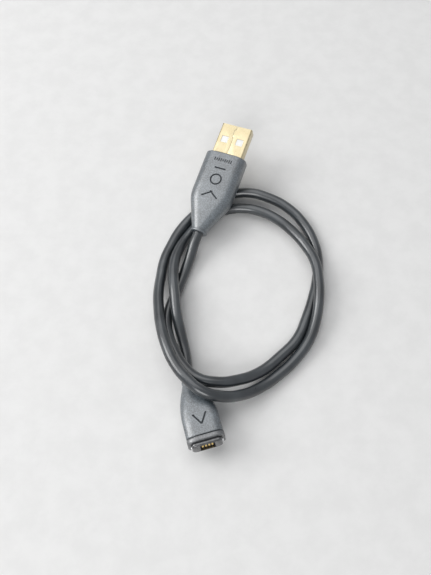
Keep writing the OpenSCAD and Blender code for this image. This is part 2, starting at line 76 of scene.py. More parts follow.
# %% Plug frames
def lying(collar, heading, pitch, roll):
    """Carries a plug from its own frame, in millimetres, to where it lies. The collar's middle
    goes to the place given, and the angles are in degrees."""
    return (Matrix.Translation(Vector(collar) * MM)
            @ Matrix.Rotation(radians(heading), 4, "Z")
            @ Matrix.Rotation(radians(-pitch), 4, "Y")
            @ Matrix.Rotation(radians(roll), 4, "X")
            @ Matrix.Scale(MM, 4))


CORD_D = 3.8
COLLAR_D = 6.3
CHARGER_PITCH = 12
USB_LIES = lying(collar=(-7.9, 19, 6.1), heading=69.5, pitch=12.5, roll=-4.5)
CHARGER_LIES = lying(collar=(-10, -37.4, COLLAR_D / 2 * cos(radians(CHARGER_PITCH))),
                     heading=-75.2, pitch=CHARGER_PITCH, roll=2.7)

# %% [markdown]
# ## The cord
# The real cord is a soft round jacket over braid and four wires. It keeps one length however it
# is laid. A mesh could be bent into these loops, but a curve with a round bevel is better: it
# stays round in every bend, and its length can be read off it. The points go straight out of the
# USB collar, round two loose loops that rise where one strand crosses another, and straight into
# the charging plug's collar. The bevel's depth is 1 and each point's radius is the cord's own,
# because a curve counts that radius in the box that it reports.

# %% The cord's route
USB_JACKET_IN = 12.5
CHARGER_JACKET_IN = 6
LAID = [
    (-10.8, 10.4, 3.5), (-12.6, 5.2, 2.4), (-14.5, -0.1, 2), (-16.3, -5.3, 2.2),
    (-17.9, -10.4, 3), (-18.6, -15.7, 4.1), (-17.7, -21.7, 5.5), (-15.3, -28.1, 6.9),
    (-12, -34, 8), (-7.4, -38, 8.2), (-1.5, -39.2, 7.6), (5.7, -38, 5.9), (13.8, -34.2, 3.3),
    (21.1, -28.1, 2.3), (27.2, -21.6, 2), (31, -13.5, 2), (33.8, -5.6, 2), (35.7, 1.8, 2),
    (36.5, 9.2, 2), (35.5, 16.9, 2.2), (31.9, 25, 3), (26.1, 31.6, 3.8), (18.8, 36.1, 4),
    (11.3, 38.6, 3.6), (3.8, 38.2, 2.7), (-3.3, 34.9, 2.1), (-10, 28.9, 2), (-14.8, 22.7, 2),
    (-18.1, 15.9, 2.1), (-20.4, 9.2, 2.7), (-21.4, 2.1, 3.3), (-21.9, -4.9, 4.8),
    (-21.4, -12, 6.6), (-20.3, -19.2, 8.3), (-18.3, -26.5, 9.8), (-15.2, -33.6, 10.8),
    (-10.8, -39.4, 11.4), (-5.7, -43.4, 11), (0.3, -44.5, 9.1), (6.8, -43.1, 5.8),
    (13.6, -39.7, 3.2), (20.1, -34.9, 2.1), (26, -29.4, 2.1), (30.9, -22.9, 3),
    (33.8, -15.6, 4.3), (35.2, -7.8, 5.8), (35.5, -0.4, 6.2), (34.8, 7, 5.8), (32.1, 14, 4.6),
    (27.8, 20.5, 4), (22.3, 26, 3.9), (16.1, 29.9, 3.5), (9.6, 31.9, 2.8), (3.2, 31.7, 2.3),
    (-3, 29.8, 2.2), (-8.2, 24.9, 2), (-12.1, 19.4, 2.5), (-15.1, 13, 4), (-16.6, 6.4, 5.5),
    (-16.6, -0.2, 6.4), (-16, -6.7, 6.7), (-15.2, -13.2, 5.9), (-13.7, -20, 3.9),
    (-12.1, -26.8, 2.5)]
CORD_STRAIGHT = 4
CORD_STEPS = 8
route = ([USB_LIES @ Vector((x, 0, 0))
          for x in (USB_JACKET_IN, USB_JACKET_IN / 2, 0, -CORD_STRAIGHT)]
         + [Vector(point) * MM for point in LAID]
         + [CHARGER_LIES @ Vector((x, 0, 0))
            for x in (-CORD_STRAIGHT, 0, CHARGER_JACKET_IN / 2, CHARGER_JACKET_IN)])

# %% The cord as a curve
cord_curve = bpy.data.curves.new("cord_sleeve", "CURVE")
cord_curve.dimensions = "3D"
cord_curve.bevel_depth = 1
cord_curve.bevel_resolution = CORD_STEPS
cord_curve.resolution_u = CORD_STEPS
cord_curve.use_fill_caps = True
strand = cord_curve.splines.new("BEZIER")
strand.bezier_points.add(len(route) - 1)
for knot, place in zip(strand.bezier_points, route):
    knot.co, knot.radius = place, CORD_D / 2 * MM
    knot.handle_left_type = knot.handle_right_type = "AUTO"
cord_length = strand.calc_length()
cord = bpy.data.objects.new("cord_sleeve", cord_curve)
bpy.context.scene.collection.objects.link(cord)
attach(cord, "cable")
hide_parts("cord_jacket")
print("cord length in mm:", round(cord_length / MM, 1))

# %% [markdown]
# ## Hand tools
# A few moves come back on every piece, so they are written once. A piece starts as a primitive,
# is shaped with edit-mode operators, and ends with applied modifiers. Rings of a rounded
# rectangle that are bridged one to the next give a moulded body: a designer does the same with
# cross-sections, because a handful of sections says the whole shape. A cutter always stands out
# past what it cuts, because two faces in one plane confuse a cut.

# %% Hand tools
ROUND_SIDES = 48       # sides of a round bar
CORNER_STEPS = 7       # edges round one corner of a section
SMOOTH_BELOW = 40      # edges flatter than this many degrees are shaded smooth
SAME_X = 1e-4          # two points this close along x belong to one section
NEAR = 0.1             # this close to a face counts as on it
CLEAR = 1              # how far a cutter stands out


def alone(obj):
    """Makes obj the only thing selected, and the active one."""
    bpy.ops.object.select_all(action="DESELECT")
    obj.select_set(True)
    bpy.context.view_layer.objects.active = obj


def in_edit(obj):
    """Opens obj in edit mode with nothing selected."""
    alone(obj)
    bpy.ops.object.mode_set(mode="EDIT")
    bpy.ops.mesh.select_mode(type="VERT")
    bpy.ops.mesh.select_all(action="DESELECT")


def out_of_edit():
    """Leaves edit mode and returns the piece."""
    bpy.ops.object.mode_set(mode="OBJECT")
    return bpy.context.object


def box(name, x, y, z):
    """A box between two values on each axis."""
    bpy.ops.object.select_all(action="DESELECT")
    bpy.ops.mesh.primitive_cube_add(size=1, location=[(a + b) / 2 for a, b in (x, y, z)])
    obj = bpy.context.object
    obj.name = name
    obj.scale = [b - a for a, b in (x, y, z)]
    bpy.ops.object.transform_apply(location=True, rotation=True, scale=True)
    return obj


def bar(name, x, width, thickness, gap=0):
    """A box in the middle of the plug. A cutter leaves a gap round what goes in."""
    half_w, half_t = width / 2 + gap, thickness / 2 + gap
    return box(name, x, (-half_w, half_w), (-half_t, half_t))


def rod(name, x, radius):
    """A round bar along x."""
    bpy.ops.object.select_all(action="DESELECT")
    bpy.ops.mesh.primitive_cylinder_add(vertices=ROUND_SIDES, radius=radius, depth=x[1] - x[0],
                                        location=((x[0] + x[1]) / 2, 0, 0),
                                        rotation=(0, pi / 2, 0))
    obj = bpy.context.object
    obj.name = name
    bpy.ops.object.transform_apply(location=True, rotation=True, scale=True)
    return obj


def pick(obj, kind, test):
    """In edit mode, selects the edges or faces that pass a test."""
    bpy.ops.mesh.select_mode(type=kind)
    bpy.ops.mesh.select_all(action="DESELECT")
    bpy.ops.object.mode_set(mode="OBJECT")
    mesh = obj.data
    if kind == "EDGE":
        for edge in mesh.edges:
            edge.select = test(*(mesh.vertices[i].co for i in edge.vertices))
    else:
        for face in mesh.polygons:
            face.select = test(face.center, face.normal)
    bpy.ops.object.mode_set(mode="EDIT")


def apply_modifier(obj, kind, **settings):
    """Adds a modifier with its settings and makes its result the mesh."""
    alone(obj)
    modifier = obj.modifiers.new(kind.lower(), kind)
    for name, value in settings.items():
        setattr(modifier, name, value)
    bpy.ops.object.modifier_apply(modifier=modifier.name)


def combine(obj, operation, *others):
    """Cuts the other objects out of obj, or adds them to it, and removes them."""
    for other in others:
        apply_modifier(obj, "BOOLEAN", operation=operation, object=other, solver="EXACT")
        bpy.data.objects.remove(other)
    return obj


def soften(obj, width, angle):
    """Rounds every edge sharper than angle a little, as a mould or a press leaves it."""
    apply_modifier(obj, "BEVEL", width=width, segments=2, limit_method="ANGLE",
                   angle_limit=radians(angle), use_clamp_overlap=True)


def settle(obj, place):
    """Shades a finished piece and puts its place into its mesh."""
    alone(obj)
    bpy.ops.object.shade_smooth_by_angle(angle=radians(SMOOTH_BELOW))
    obj.matrix_world = place
    bpy.ops.object.transform_apply(location=True, rotation=True, scale=True)


def dress(obj, body, slot, *nodes):
    """Says which body a piece moves with and the solids it stands for. slot, the name of its
    finish, is not used.
    """
    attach(obj, body)
    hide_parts(*nodes)
    print(obj.name, "faces:", len(obj.data.polygons))
    return obj


def moulded(name, sections):
    """Bridges rounded rectangles into a closed body. Each section is x, half width, half
    thickness, the corner's height, and how many times wider than high the corner is."""
    bpy.ops.object.select_all(action="DESELECT")
    bpy.ops.mesh.primitive_plane_add(size=2, location=(0, 0, 0))
    body = bpy.context.object
    body.name = name
    in_edit(body)
    bpy.ops.mesh.select_all(action="SELECT")
    bpy.ops.mesh.delete(type="VERT")
    for x, half_w, half_t, corner, wider in sections:
        bpy.ops.mesh.select_all(action="DESELECT")
        bpy.ops.mesh.primitive_plane_add(size=2, location=(x, 0, 0), rotation=(0, pi / 2, 0))
        bpy.ops.transform.resize(value=(1, half_w, half_t * wider), center_override=(x, 0, 0))
        bpy.ops.mesh.bevel(offset_type="ABSOLUTE", offset=corner * wider,
                           segments=CORNER_STEPS, affect="VERTICES")
        bpy.ops.transform.resize(value=(1, 1, 1 / wider), center_override=(x, 0, 0))
        bpy.ops.mesh.delete(type="ONLY_FACE")
    for x, *_ in (sections[0], sections[-1]):
        pick(body, "EDGE", lambda a, b: abs(a.x - x) < SAME_X and abs(b.x - x) < SAME_X)
        bpy.ops.mesh.edge_face_add()
    for near, far in zip(sections, sections[1:]):
        pick(body, "EDGE", lambda a, b: abs(a.x - b.x) < SAME_X
             and min(abs(a.x - near[0]), abs(a.x - far[0])) < SAME_X)
        bpy.ops.mesh.bridge_edge_loops()
    bpy.ops.mesh.select_all(action="SELECT")
    bpy.ops.mesh.normals_make_consistent(inside=False)
    return out_of_edit()


# %% [markdown]
# ## The two moulded bodies
# Both plugs are moulded over their wiring in one shot of soft black plastic. A raised lip ends
# the collar, a neck swells into the body, and every outer edge is rounded so that it leaves the
# mould. A box with bevels could not turn from a round neck into a flat body, so each body is a
# row of rounded sections: nearly circles at the neck, rounded rectangles further on. A profile
# is a short table: how far along, and how much smaller the section is there.

# %% Sections of a moulded body
LIP_L = 1
LIP_STEP = 0.2
LIP_PROFILE = ((0, LIP_STEP), (0.08, 0.07), (LIP_STEP, 0), (LIP_L - LIP_STEP, 0),
               (LIP_L - 0.06, 0.08))
NEARLY_ROUND = 0.99
SWELL_ROWS, FRONT_ROWS = 20, 5


def swell(t, roundness):
    """A straight ramp from 0 to 1 that rounds over at its top."""
    if t < 1 - roundness:
        return max(t, 0)
    return 1 if t > 1 + roundness else 1 - (1 + roundness - t) ** 2 / (4 * roundness)


def body_sections(length, width, thickness, corner, wider, taper, roundness, ends):
    """Sections from the collar's lip to the front. The neck swells over the taper's length, and
    the front's edges round over: ends says how deep, how far in from the sides, how far down."""
    lip, neck = COLLAR_D / 2, COLLAR_D / 2 - LIP_STEP

    def section(x, share, less_w=0, less_t=0):
        half_w = neck + (width / 2 - neck) * share - less_w
        half_t = neck + (thickness / 2 - neck) * share - less_t
        round_r = min(neck + (corner - neck) * share, half_w * NEARLY_ROUND,
                      half_t * NEARLY_ROUND)
        return (x, half_w, half_t, round_r,
                min(1 + (wider - 1) * share, half_w * NEARLY_ROUND / round_r))

    rows = [(x, lip - less, lip - less, (lip - less) * NEARLY_ROUND, 1)
            for x, less in LIP_PROFILE]
    for number in range(SWELL_ROWS + 1):
        t = (1 + roundness) * number / SWELL_ROWS
        rows.append(section(LIP_L + taper * t, swell(t, roundness)))
    depth, less_w, less_t = ends
    for number in range(FRONT_ROWS + 1):
        turn = pi / 2 * number / FRONT_ROWS
        rows.append(section(length - depth * (1 - sin(turn)), 1,
                            less_w * (1 - cos(turn)), less_t * (1 - cos(turn))))
    return rows


# %% [markdown]
# ## The USB plug's grip
# The grip is a flat moulding 16 mm wide and 8 mm thick. Its upper face carries shallow marks.
# They are crisp and have straight walls. A bump texture would look flat from the side, so the
# marks are cut into the mesh: a row of ticks, a bar, a ring and a chevron, all plain shapes. The
# hole inside is cut to the sizes of the solids that fill it, with a small gap round them.

# %% Grip
GAP = 0.05             # round every piece that is held fast
USB_L, USB_W, USB_T = 32, 16, 8
SHELL_W, SHELL_T, SHELL_OUT, SHELL_IN = 12, 4.5, 12.5, 6.3
CRIMP_L, CRIMP_HOLE_R = 4.2, 2.6
SHIELD_X, SHIELD_WALL, SHIELD_LAP = USB_JACKET_IN + 0.6, 0.3, 2.3
SHIELD_W, SHIELD_T = (size + 2 * (SHIELD_WALL + GAP) for size in (SHELL_W, SHELL_T))
SHELL_BACK, SHELL_TIP = USB_L - SHELL_IN, USB_L + SHELL_OUT
MARK_DEPTH, MARK_W, MARK_L = 0.35, 0.6, 4.4
BAR_X, RING_X, CHEVRON_X = USB_L - 6.6, USB_L - 11.2, USB_L - 17.4
RING_OUTER, RING_INNER = 2.3, 1.7
CHEVRON_Y, CHEVRON_TURN = 1.3, 35
TICKS, TICK_X, TICK_Y, TICK_PITCH, TICK_W = 9, USB_L - 3.2, 3.2, 0.8, 0.38
TICK_LENGTHS = (1.3, 1.0, 1.3, 1.3, 0.8)
usb_top = USB_T / 2 - MARK_DEPTH


def stroke(x, y, length, width, turn, top):
    """A cutter for one engraved stroke across the plug, turned about z by turn degrees."""
    cutter = box("stroke", (-width / 2, width / 2), (-length / 2, length / 2), (0, CLEAR))
    cutter.matrix_world = Matrix.Translation((x, y, top)) @ Matrix.Rotation(radians(turn), 4, "Z")
    alone(cutter)
    bpy.ops.object.transform_apply(location=True, rotation=True, scale=True)
    return cutter


def disc(x, radius, low, high):
    """An upright round cutter."""
    bpy.ops.object.select_all(action="DESELECT")
    bpy.ops.mesh.primitive_cylinder_add(vertices=ROUND_SIDES, radius=radius, depth=high - low,
                                        location=(x, 0, (low + high) / 2))
    bpy.ops.object.transform_apply(location=True, rotation=True, scale=True)
    return bpy.context.object


grip = moulded("usb_grip", body_sections(USB_L, USB_W, USB_T, corner=3, wider=1.35, taper=12.3,
                                         roundness=0.2, ends=(0.7, 1.0, 0.5)))
combine(grip, "DIFFERENCE",
        rod("cord_hole", (-CLEAR, SHIELD_X + GAP), CORD_D / 2 + GAP),
        rod("crimp_hole", (USB_JACKET_IN - CRIMP_L - GAP, SHIELD_X + GAP), CRIMP_HOLE_R),
        bar("shield_hole", (SHIELD_X - GAP, SHELL_BACK + SHIELD_LAP + GAP), SHIELD_W, SHIELD_T,
            GAP),
        bar("shell_hole", (SHELL_BACK, USB_L + CLEAR), SHELL_W, SHELL_T, GAP))
combine(grip, "DIFFERENCE", *(
    stroke(TICK_X, TICK_Y - TICK_PITCH * number, TICK_W,
           TICK_LENGTHS[number % len(TICK_LENGTHS)], 0, usb_top) for number in range(TICKS)))
ring = combine(disc(RING_X, RING_OUTER, usb_top, USB_T / 2 + CLEAR), "DIFFERENCE",
               disc(RING_X, RING_INNER, 0, USB_T / 2 + 2 * CLEAR))
combine(grip, "DIFFERENCE", stroke(BAR_X, 0, MARK_L, MARK_W, 0, usb_top), ring,
        *(stroke(CHEVRON_X, side * CHEVRON_Y, MARK_L, MARK_W, side * CHEVRON_TURN, usb_top)
          for side in (1, -1)))
settle(grip, USB_LIES)
dress(grip, "cable", "grip_black", "usb_overmould")

# %% [markdown]
# ## The USB shell
# The shell is one strip of steel, folded into a box and plated pale gold. Its two edges meet in
# a seam down the middle of one broad face, held by a small interlock, and each broad face has
# two square windows. Here a box is opened at both ends and its long edges are bent round with
# a bevel. Only then does it get its sheet thickness, as the real strip keeps one thickness round
# each bend.

# %% Shell
SHELL_WALL, SHELL_BEND = 0.3, 0.6
WINDOW, WINDOW_X, WINDOW_Y = 2.7, SHELL_TIP - 6.4, 3
SLIT, SLIT_OVERLAP = 0.12, 0.1
LOCK_BACK, LOCK_FRONT, LOCK_Y = SHELL_TIP - 5, SHELL_TIP - 1.7, 0.45
THROUGH = 3            # from the middle to well outside the shell
shell = bar("usb_shell_sheet", (SHELL_BACK, SHELL_TIP), SHELL_W, SHELL_T)
in_edit(shell)
pick(shell, "FACE", lambda centre, normal: abs(normal.x) > 1 - NEAR)
bpy.ops.mesh.delete(type="FACE")
pick(shell, "EDGE", lambda a, b: abs(a.x - b.x) > NEAR)
bpy.ops.mesh.bevel(offset=SHELL_BEND, segments=6, affect="EDGES")
out_of_edit()
apply_modifier(shell, "SOLIDIFY", thickness=SHELL_WALL, offset=-1)
windows = [box("window", (WINDOW_X - WINDOW / 2, WINDOW_X + WINDOW / 2),
               (y - WINDOW / 2, y + WINDOW / 2), (-THROUGH, THROUGH))
           for y in (-WINDOW_Y, WINDOW_Y)]
slits = [box("slit", x, (y - SLIT / 2, y + SLIT / 2), (0, THROUGH))
         for x, y in (((SHELL_BACK - CLEAR, LOCK_BACK + SLIT_OVERLAP), 0),
                      ((LOCK_BACK, LOCK_FRONT + SLIT_OVERLAP), LOCK_Y),
                      ((LOCK_FRONT, SHELL_TIP + CLEAR), 0))]
slits += [box("slit_step", (x, x + SLIT), (-SLIT / 2, LOCK_Y + SLIT / 2), (0, THROUGH))
          for x in (LOCK_BACK, LOCK_FRONT)]
combine(shell, "DIFFERENCE", *windows, *slits)
soften(shell, width=0.05, angle=35)
settle(shell, USB_LIES)
dress(shell, "cable", "shell_gold", "usb_shell")

# %% [markdown]
# ## The charging plug's body
# This body is smaller: 12.2 mm wide, 7 mm thick, with a neck that swells over nearly half its
# length. Its broad faces are crowned: each corner is nearly twice as wide as it is high. The
# arrow on top shows which way the plug goes in. The hole inside follows the pieces that lie in
# it, one behind the other: cord, crimp ring, inner mould and the nose's root.

# %% Charging body
BODY_L, BODY_W, BODY_T, BODY_CORNER = 21.4, 12.2, 7, 1.9
CROWN = 1.9
CHARGER_CRIMP_L = 3
MOULD_X, MOULD_W, MOULD_T = 9, 8, 4.5
MOULD_NECK_W, MOULD_NECK_T = 6, 4.3
ROOT_X, ROOT_T = BODY_L - 3.9, 4.4
NECK_W, NECK_T = 9, 4
ARROW_TIP, ARROW_TURN = BODY_L - 3.4, 30
charger_top = BODY_T / 2 - MARK_DEPTH
charger = moulded("charger_body", body_sections(
    BODY_L, BODY_W, BODY_T, BODY_CORNER, CROWN, taper=9, roundness=0.6, ends=(0.35, 0.35, 0.3)))
arrow = [stroke(ARROW_TIP - MARK_L / 2 * cos(radians(ARROW_TURN)),
                side * MARK_L / 2 * sin(radians(ARROW_TURN)),
                MARK_L, MARK_W, 90 - side * ARROW_TURN, charger_top) for side in (-1, 1)]
combine(charger, "DIFFERENCE",
        rod("cord_hole", (-CLEAR, CHARGER_JACKET_IN + GAP), CORD_D / 2 + GAP),
        rod("crimp_hole", (CHARGER_JACKET_IN - CHARGER_CRIMP_L - GAP, CHARGER_JACKET_IN + GAP),
            CRIMP_HOLE_R),
        bar("mould_neck_hole", (CHARGER_JACKET_IN, MOULD_X + GAP), MOULD_NECK_W, MOULD_NECK_T,
            GAP),
        bar("mould_hole", (MOULD_X - GAP, ROOT_X + GAP), MOULD_W, MOULD_T, GAP),
        bar("root_hole", (ROOT_X - GAP, BODY_L + CLEAR), NECK_W, ROOT_T, GAP), *arrow)
settle(charger, CHARGER_LIES)
dress(charger, "cable", "grip_black", "charger_overmould")

# %% [markdown]
# ## The band behind the nose
# A separate band sits between the body and the nose, with a dark seam on both sides. It is a
# short rounded bar with softened edges and a hole for the nose's neck.

# %% Band
BAND_X, BAND_L, BAND_W = BODY_L + 0.15, 1.6, 12.4
BAND_EDGE = ((0, 0.3), (0.07, 0.14), (0.2, 0.03), (0.35, 0))
band = moulded("charger_band", [
    (BAND_X + depth, BAND_W / 2 - less, BODY_T / 2 - less, BODY_CORNER - less / 2, CROWN)
    for depth, less in (*BAND_EDGE, *((BAND_L - depth, less) for depth, less in BAND_EDGE[::-1]))])
combine(band, "DIFFERENCE",
        bar("neck_hole", (BAND_X - CLEAR, BAND_X + BAND_L + CLEAR), NECK_W, NECK_T, GAP))
settle(band, CHARGER_LIES)
dress(band, "cable", "flange_black", "charger_flange")

# %% [markdown]
# ## The nose
# The nose is hard glossy plastic, the only part that enters the device. It has a recess with
# four slots for the contacts and a pocket on each narrow side for a latch. It is built as its
# toolmaker would: a solid block with a neck and a root, and then everything else cut away.

# %% Nose
NOSE_X, NOSE_L, NOSE_W, NOSE_T = BAND_X + BAND_L + 0.2, 1.2, 10.2, 4.7
NOSE_TIP, NOSE_CORNER = NOSE_X + NOSE_L, 1.4
NOSE_BACK_EDGE = ((0, 0.12), (0.05, 0.03), (0.15, 0))
NOSE_TIP_EDGE = ((0.55, 0), (0.36, 0.05), (0.18, 0.16), (0.06, 0.31), (0, 0.48))
RECESS_W, RECESS_T, RECESS_DEEP = 4.9, 3.5, 1
SLIDE = 0.08           # round every piece that slides
SLOT_X = ROOT_X + 1.5
CONTACTS, CONTACT_W, CONTACT_H, CONTACT_PITCH = 4, 0.6, 2.6, 1.05
CONTACT_Y = [(number - (CONTACTS - 1) / 2) * CONTACT_PITCH for number in range(CONTACTS)]
BOARD_TOP, TAIL_W, TAIL_T = -0.1, 0.4, 0.25
LATCH_X, LATCH_L, LATCH_H, POCKET_DEEP = NOSE_X + 0.25, 0.7, 2.2, 0.6
nose = moulded("charger_nose_block", [
    (x, NOSE_W / 2 - less, NOSE_T / 2 - less, NOSE_CORNER - less / 2, 1)
    for x, less in (*((NOSE_X + depth, less) for depth, less in NOSE_BACK_EDGE),
                    *((NOSE_TIP - depth, less) for depth, less in NOSE_TIP_EDGE))])
combine(nose, "UNION", bar("neck", (BODY_L - GAP, NOSE_X + GAP), NECK_W, NECK_T),
        bar("root", (ROOT_X, BODY_L), NECK_W, ROOT_T))
recess = bar("recess", (NOSE_TIP - RECESS_DEEP, NOSE_TIP + CLEAR), RECESS_W, RECESS_T)
slots = [box("slot", (SLOT_X, NOSE_TIP - RECESS_DEEP / 2),
             (y - CONTACT_W / 2 - SLIDE, y + CONTACT_W / 2 + SLIDE),
             (-CONTACT_H / 2 - SLIDE, CONTACT_H / 2 + SLIDE)) for y in CONTACT_Y]
tails = [box("tail_slot", (ROOT_X - CLEAR, SLOT_X + CLEAR / 2),
             (y - TAIL_W / 2 - GAP, y + TAIL_W / 2 + GAP),
             (BOARD_TOP - GAP, BOARD_TOP + TAIL_T + GAP)) for y in CONTACT_Y]
pockets = [box("pocket", (LATCH_X - SLIDE, LATCH_X + LATCH_L + SLIDE),
               sorted((side * (NOSE_W / 2 - POCKET_DEEP), side * (NOSE_W / 2 + CLEAR))),
               (-LATCH_H / 2 - SLIDE, LATCH_H / 2 + SLIDE)) for side in (-1, 1)]
combine(nose, "DIFFERENCE", recess, *slots, *tails, *pockets)
settle(nose, CHARGER_LIES)
dress(nose, "cable", "nose_black", "charger_nose")

# %% [markdown]
# ## Contacts and latches
# Each contact is a gold-plated blade with a rounded end that a device pushes back. Each latch is
# a small bright leaf with sloping ends. They move, so each is a piece of its own on its own body.
# Each contact has empty slot behind it, and each latch stands a little proud of its pocket.

# %% Sprung pieces
CONTACT_TIP, CONTACT_BACK, TIP_FLAT = NOSE_TIP - 0.3, SLOT_X + 1, 0.05
LATCH_T, LATCH_PROUD, LATCH_SLOPE = 0.45, 0.2, 0.18
blades, leaves = [], []
for number, y in enumerate(CONTACT_Y, start=1):
    blade = box(f"contact_blade_{number}", (CONTACT_BACK, CONTACT_TIP),
                (y - CONTACT_W / 2, y + CONTACT_W / 2), (-CONTACT_H / 2, CONTACT_H / 2))
    in_edit(blade)
    pick(blade, "EDGE", lambda a, b: min(a.x, b.x) > CONTACT_TIP - NEAR
         and abs(a.y - b.y) > NEAR)
    bpy.ops.mesh.bevel(offset=CONTACT_H / 2 - TIP_FLAT, segments=12, affect="EDGES")
    out_of_edit()
    soften(blade, width=0.05, angle=60)
    settle(blade, CHARGER_LIES)
    blades.append(dress(blade, f"contact_{number}", "contact_gold", f"charger_contact_{number}"))

for name, side in (("left", 1), ("right", -1)):
    outer = side * (NOSE_W / 2 + LATCH_PROUD)
    leaf = box(f"latch_leaf_{name}", (LATCH_X, LATCH_X + LATCH_L),
               sorted((outer - side * LATCH_T, outer)), (-LATCH_H / 2, LATCH_H / 2))
    in_edit(leaf)
    pick(leaf, "EDGE", lambda a, b: min(abs(a.y), abs(b.y)) > abs(outer) - NEAR
         and abs(a.z - b.z) > NEAR)
    bpy.ops.mesh.bevel(offset=LATCH_SLOPE, segments=4, affect="EDGES")
    out_of_edit()
    soften(leaf, width=0.04, angle=60)
    settle(leaf, CHARGER_LIES)
    leaves.append(dress(leaf, f"latch_{name}", "latch_steel", f"charger_latch_{name}"))

# %% [markdown]
# ## A small language for finishes
# A finish is a network of nodes: patterns make numbers that vary over the surface, and those
# steer colour, roughness and fine relief. Wiring every node by hand hides the idea, so a number
# that varies is wrapped in a small class that can be added, scaled and compared, and every other
# node comes from one method. The room's light is a network too, and uses the same tools.

# %% Shader tools
class Varying:
    """A number or colour that varies over a surface."""

    def __init__(self, network, socket):
        self.network, self.socket = network, socket

    def _math(self, operation, *values):
        """One sum with its values."""
        return self.network.add("Math", {"operation": operation}, dict(enumerate(values)))

    def __add__(self, other):
        return self._math("ADD", self, other)

    def __sub__(self, other):
        return self._math("SUBTRACT", self, other)

    def __rsub__(self, other):
        return self._math("SUBTRACT", other, self)

    def __mul__(self, other):
        return self._math("MULTIPLY", self, other)

    def __gt__(self, other):
        return self._math("GREATER_THAN", self, other)

    def __lt__(self, other):
        return self._math("LESS_THAN", self, other)

    __radd__ = __add__

    def of(self, operation, *values):
        """Any other sum, such as SINE or MAXIMUM."""
        return self._math(operation, self, *values)

    def between(self, low, high, start=0.0, end=1.0):
        """Spreads the stretch from low to high over start to end, smoothly."""
        return self.network.add("MapRange", {"interpolation_type": "SMOOTHSTEP"},
                               {"Value": self, "From Min": low, "From Max": high,
                                "To Min": start, "To Max": end})


class Network:
    """The nodes of a material or a world, and the shader that they steer."""

    def __init__(self, owner, shader):
        owner.use_nodes = True
        self.tree = owner.node_tree
        self.shader = self.tree.nodes[shader]

    def add(self, kind, settings=None, inputs=None, output=0):
        """Adds a node: its settings first, then its sockets. Returns one output."""
        node = self.tree.nodes.new("ShaderNode" + kind)
        for name, value in (settings or {}).items():
            setattr(node, name, value)
        for name, value in (inputs or {}).items():
            self.feed(node.inputs[name], value)
        return Varying(self, node.outputs[output])

    def feed(self, socket, value):
        """Links a socket to what varies, or sets it to what doesn't."""
        if isinstance(value, Varying):
            self.tree.links.new(value.socket, socket)
        else:
            socket.default_value = value

    def set(self, **sockets):
        """Feeds the shader's own sockets."""
        for name, value in sockets.items():
            self.feed(self.shader.inputs[name.replace("_", " ")], value)


class Finish(Network):
    """A procedural material. Patterns are measured in millimetres, in a plug's frame if one is
    given."""

    def __init__(self, name, place=Matrix.Scale(MM, 4)):
        self.material = bpy.data.materials.new(name)
        super().__init__(self.material, "Principled BSDF")
        where, turn, scale = place.decompose()
        self.mm = self.add("Mapping", {"vector_type": "TEXTURE"},
                           {"Vector": self.add("TexCoord", output="Object"), "Location": where,
                            "Rotation": turn.to_euler(), "Scale": scale})

    def noise(self, size, detail, roughness, stretch=(1, 1, 1), distortion=0.0):
        """Cloudy noise whose grains are about size millimetres."""
        vector = self.mm
        if stretch != (1, 1, 1):
            vector = self.add("Mapping", {}, {"Vector": vector, "Scale": stretch})
        return self.add("TexNoise", {}, {"Vector": vector, "Scale": 1 / size, "Detail": detail,
                                         "Roughness": roughness, "Distortion": distortion})

    def parts(self):
        """The three plug-frame coordinates in millimetres, each as a number."""
        return [self.add("SeparateXYZ", {}, {0: self.mm}, output=axis) for axis in range(3)]

    def blend(self, mask, dark, light):
        """The dark colour where the mask is 0, and the light one where it is 1."""
        return self.add("MixRGB", {}, {"Fac": mask, "Color1": (*dark, 1), "Color2": (*light, 1)})

    def relief(self, height, depth):
        """Fine relief: height from 0 to 1 stands for depth millimetres."""
        self.set(Normal=self.add("Bump", {}, {"Height": height, "Distance": depth * MM,
                                              "Strength": 1}))

    def made(self, **sockets):
        """Feeds the shader and returns the material."""
        self.set(**sockets)
        return self.material


# %% [markdown]
# ## Moulded plastics
# The grips come from a spark-eroded mould, which prints a fine even grain on soft black plastic.
# Up close the grain breaks the highlight into tiny glints. Noise at two sizes gives that: the
# coarse one is what the eye reads, and the fine one softens the shine. The grain's specks are also
# painted lighter in colour, as painted glints, and the engraved marks are painted dark inside, as
# painted shade. The cord's jacket is extruded and not moulded, so it has no grain, only a faint
# unevenness and a satin shine. Noise mostly stays between 0.3 and 0.7, so that stretch is often
# the one that is spread from 0 to 1.

# %% Plastics
# The marks' painted shade fades in between these two depths: none above the rim, full below the
# floor.
MARK_FLOOR, MARK_RIM = 0.3, 0.14       # depths under the top


def eroded(name, dark, light, depth, place, marks=None):
    """Grained plastic. marks gives the top's height, where the engraved marks begin along the
    plug, and half the width that they take. The floors of the marks stay dull, and are painted
    dark: painted shade in the grooves."""
    finish = Finish(name, place)
    grain = finish.noise(0.5, 3, 0.7)
    fine = finish.noise(0.16, 2, 0.6)
    tone = finish.noise(5, 3, 0.55)
    speck = (grain + fine * 0.6).between(0.7, 0.96)
    shine = 0.62 + speck * 0.28 + tone.between(0.3, 0.7) * 0.1
    # bright is partly random tone and partly painted glint: the grain's specks are painted
    # lighter.
    bright = speck * 0.7 + tone.between(0.3, 0.7) * 0.3
    if marks:
        top, start, half = marks
        along, across, up = finish.parts()
        unmarked = up.between(top - MARK_FLOOR, top - MARK_RIM)
        outside = (along < start).of("MAXIMUM", across.of("ABSOLUTE") > half)
        unshaded = unmarked.of("MAXIMUM", outside)
        # Inside the marks the coat and the light colour are taken away: painted shade in the
        # grooves.
        shine, bright = shine * unshaded, bright * unshaded
    finish.relief(grain * 0.8 + fine * 0.2, depth)
    return finish.made(Base_Color=finish.blend(bright, dark, light),
                       Roughness=0.5 - speck * 0.12,
                       Coat_Weight=shine, Coat_IOR=2.5, Coat_Roughness=0.37)


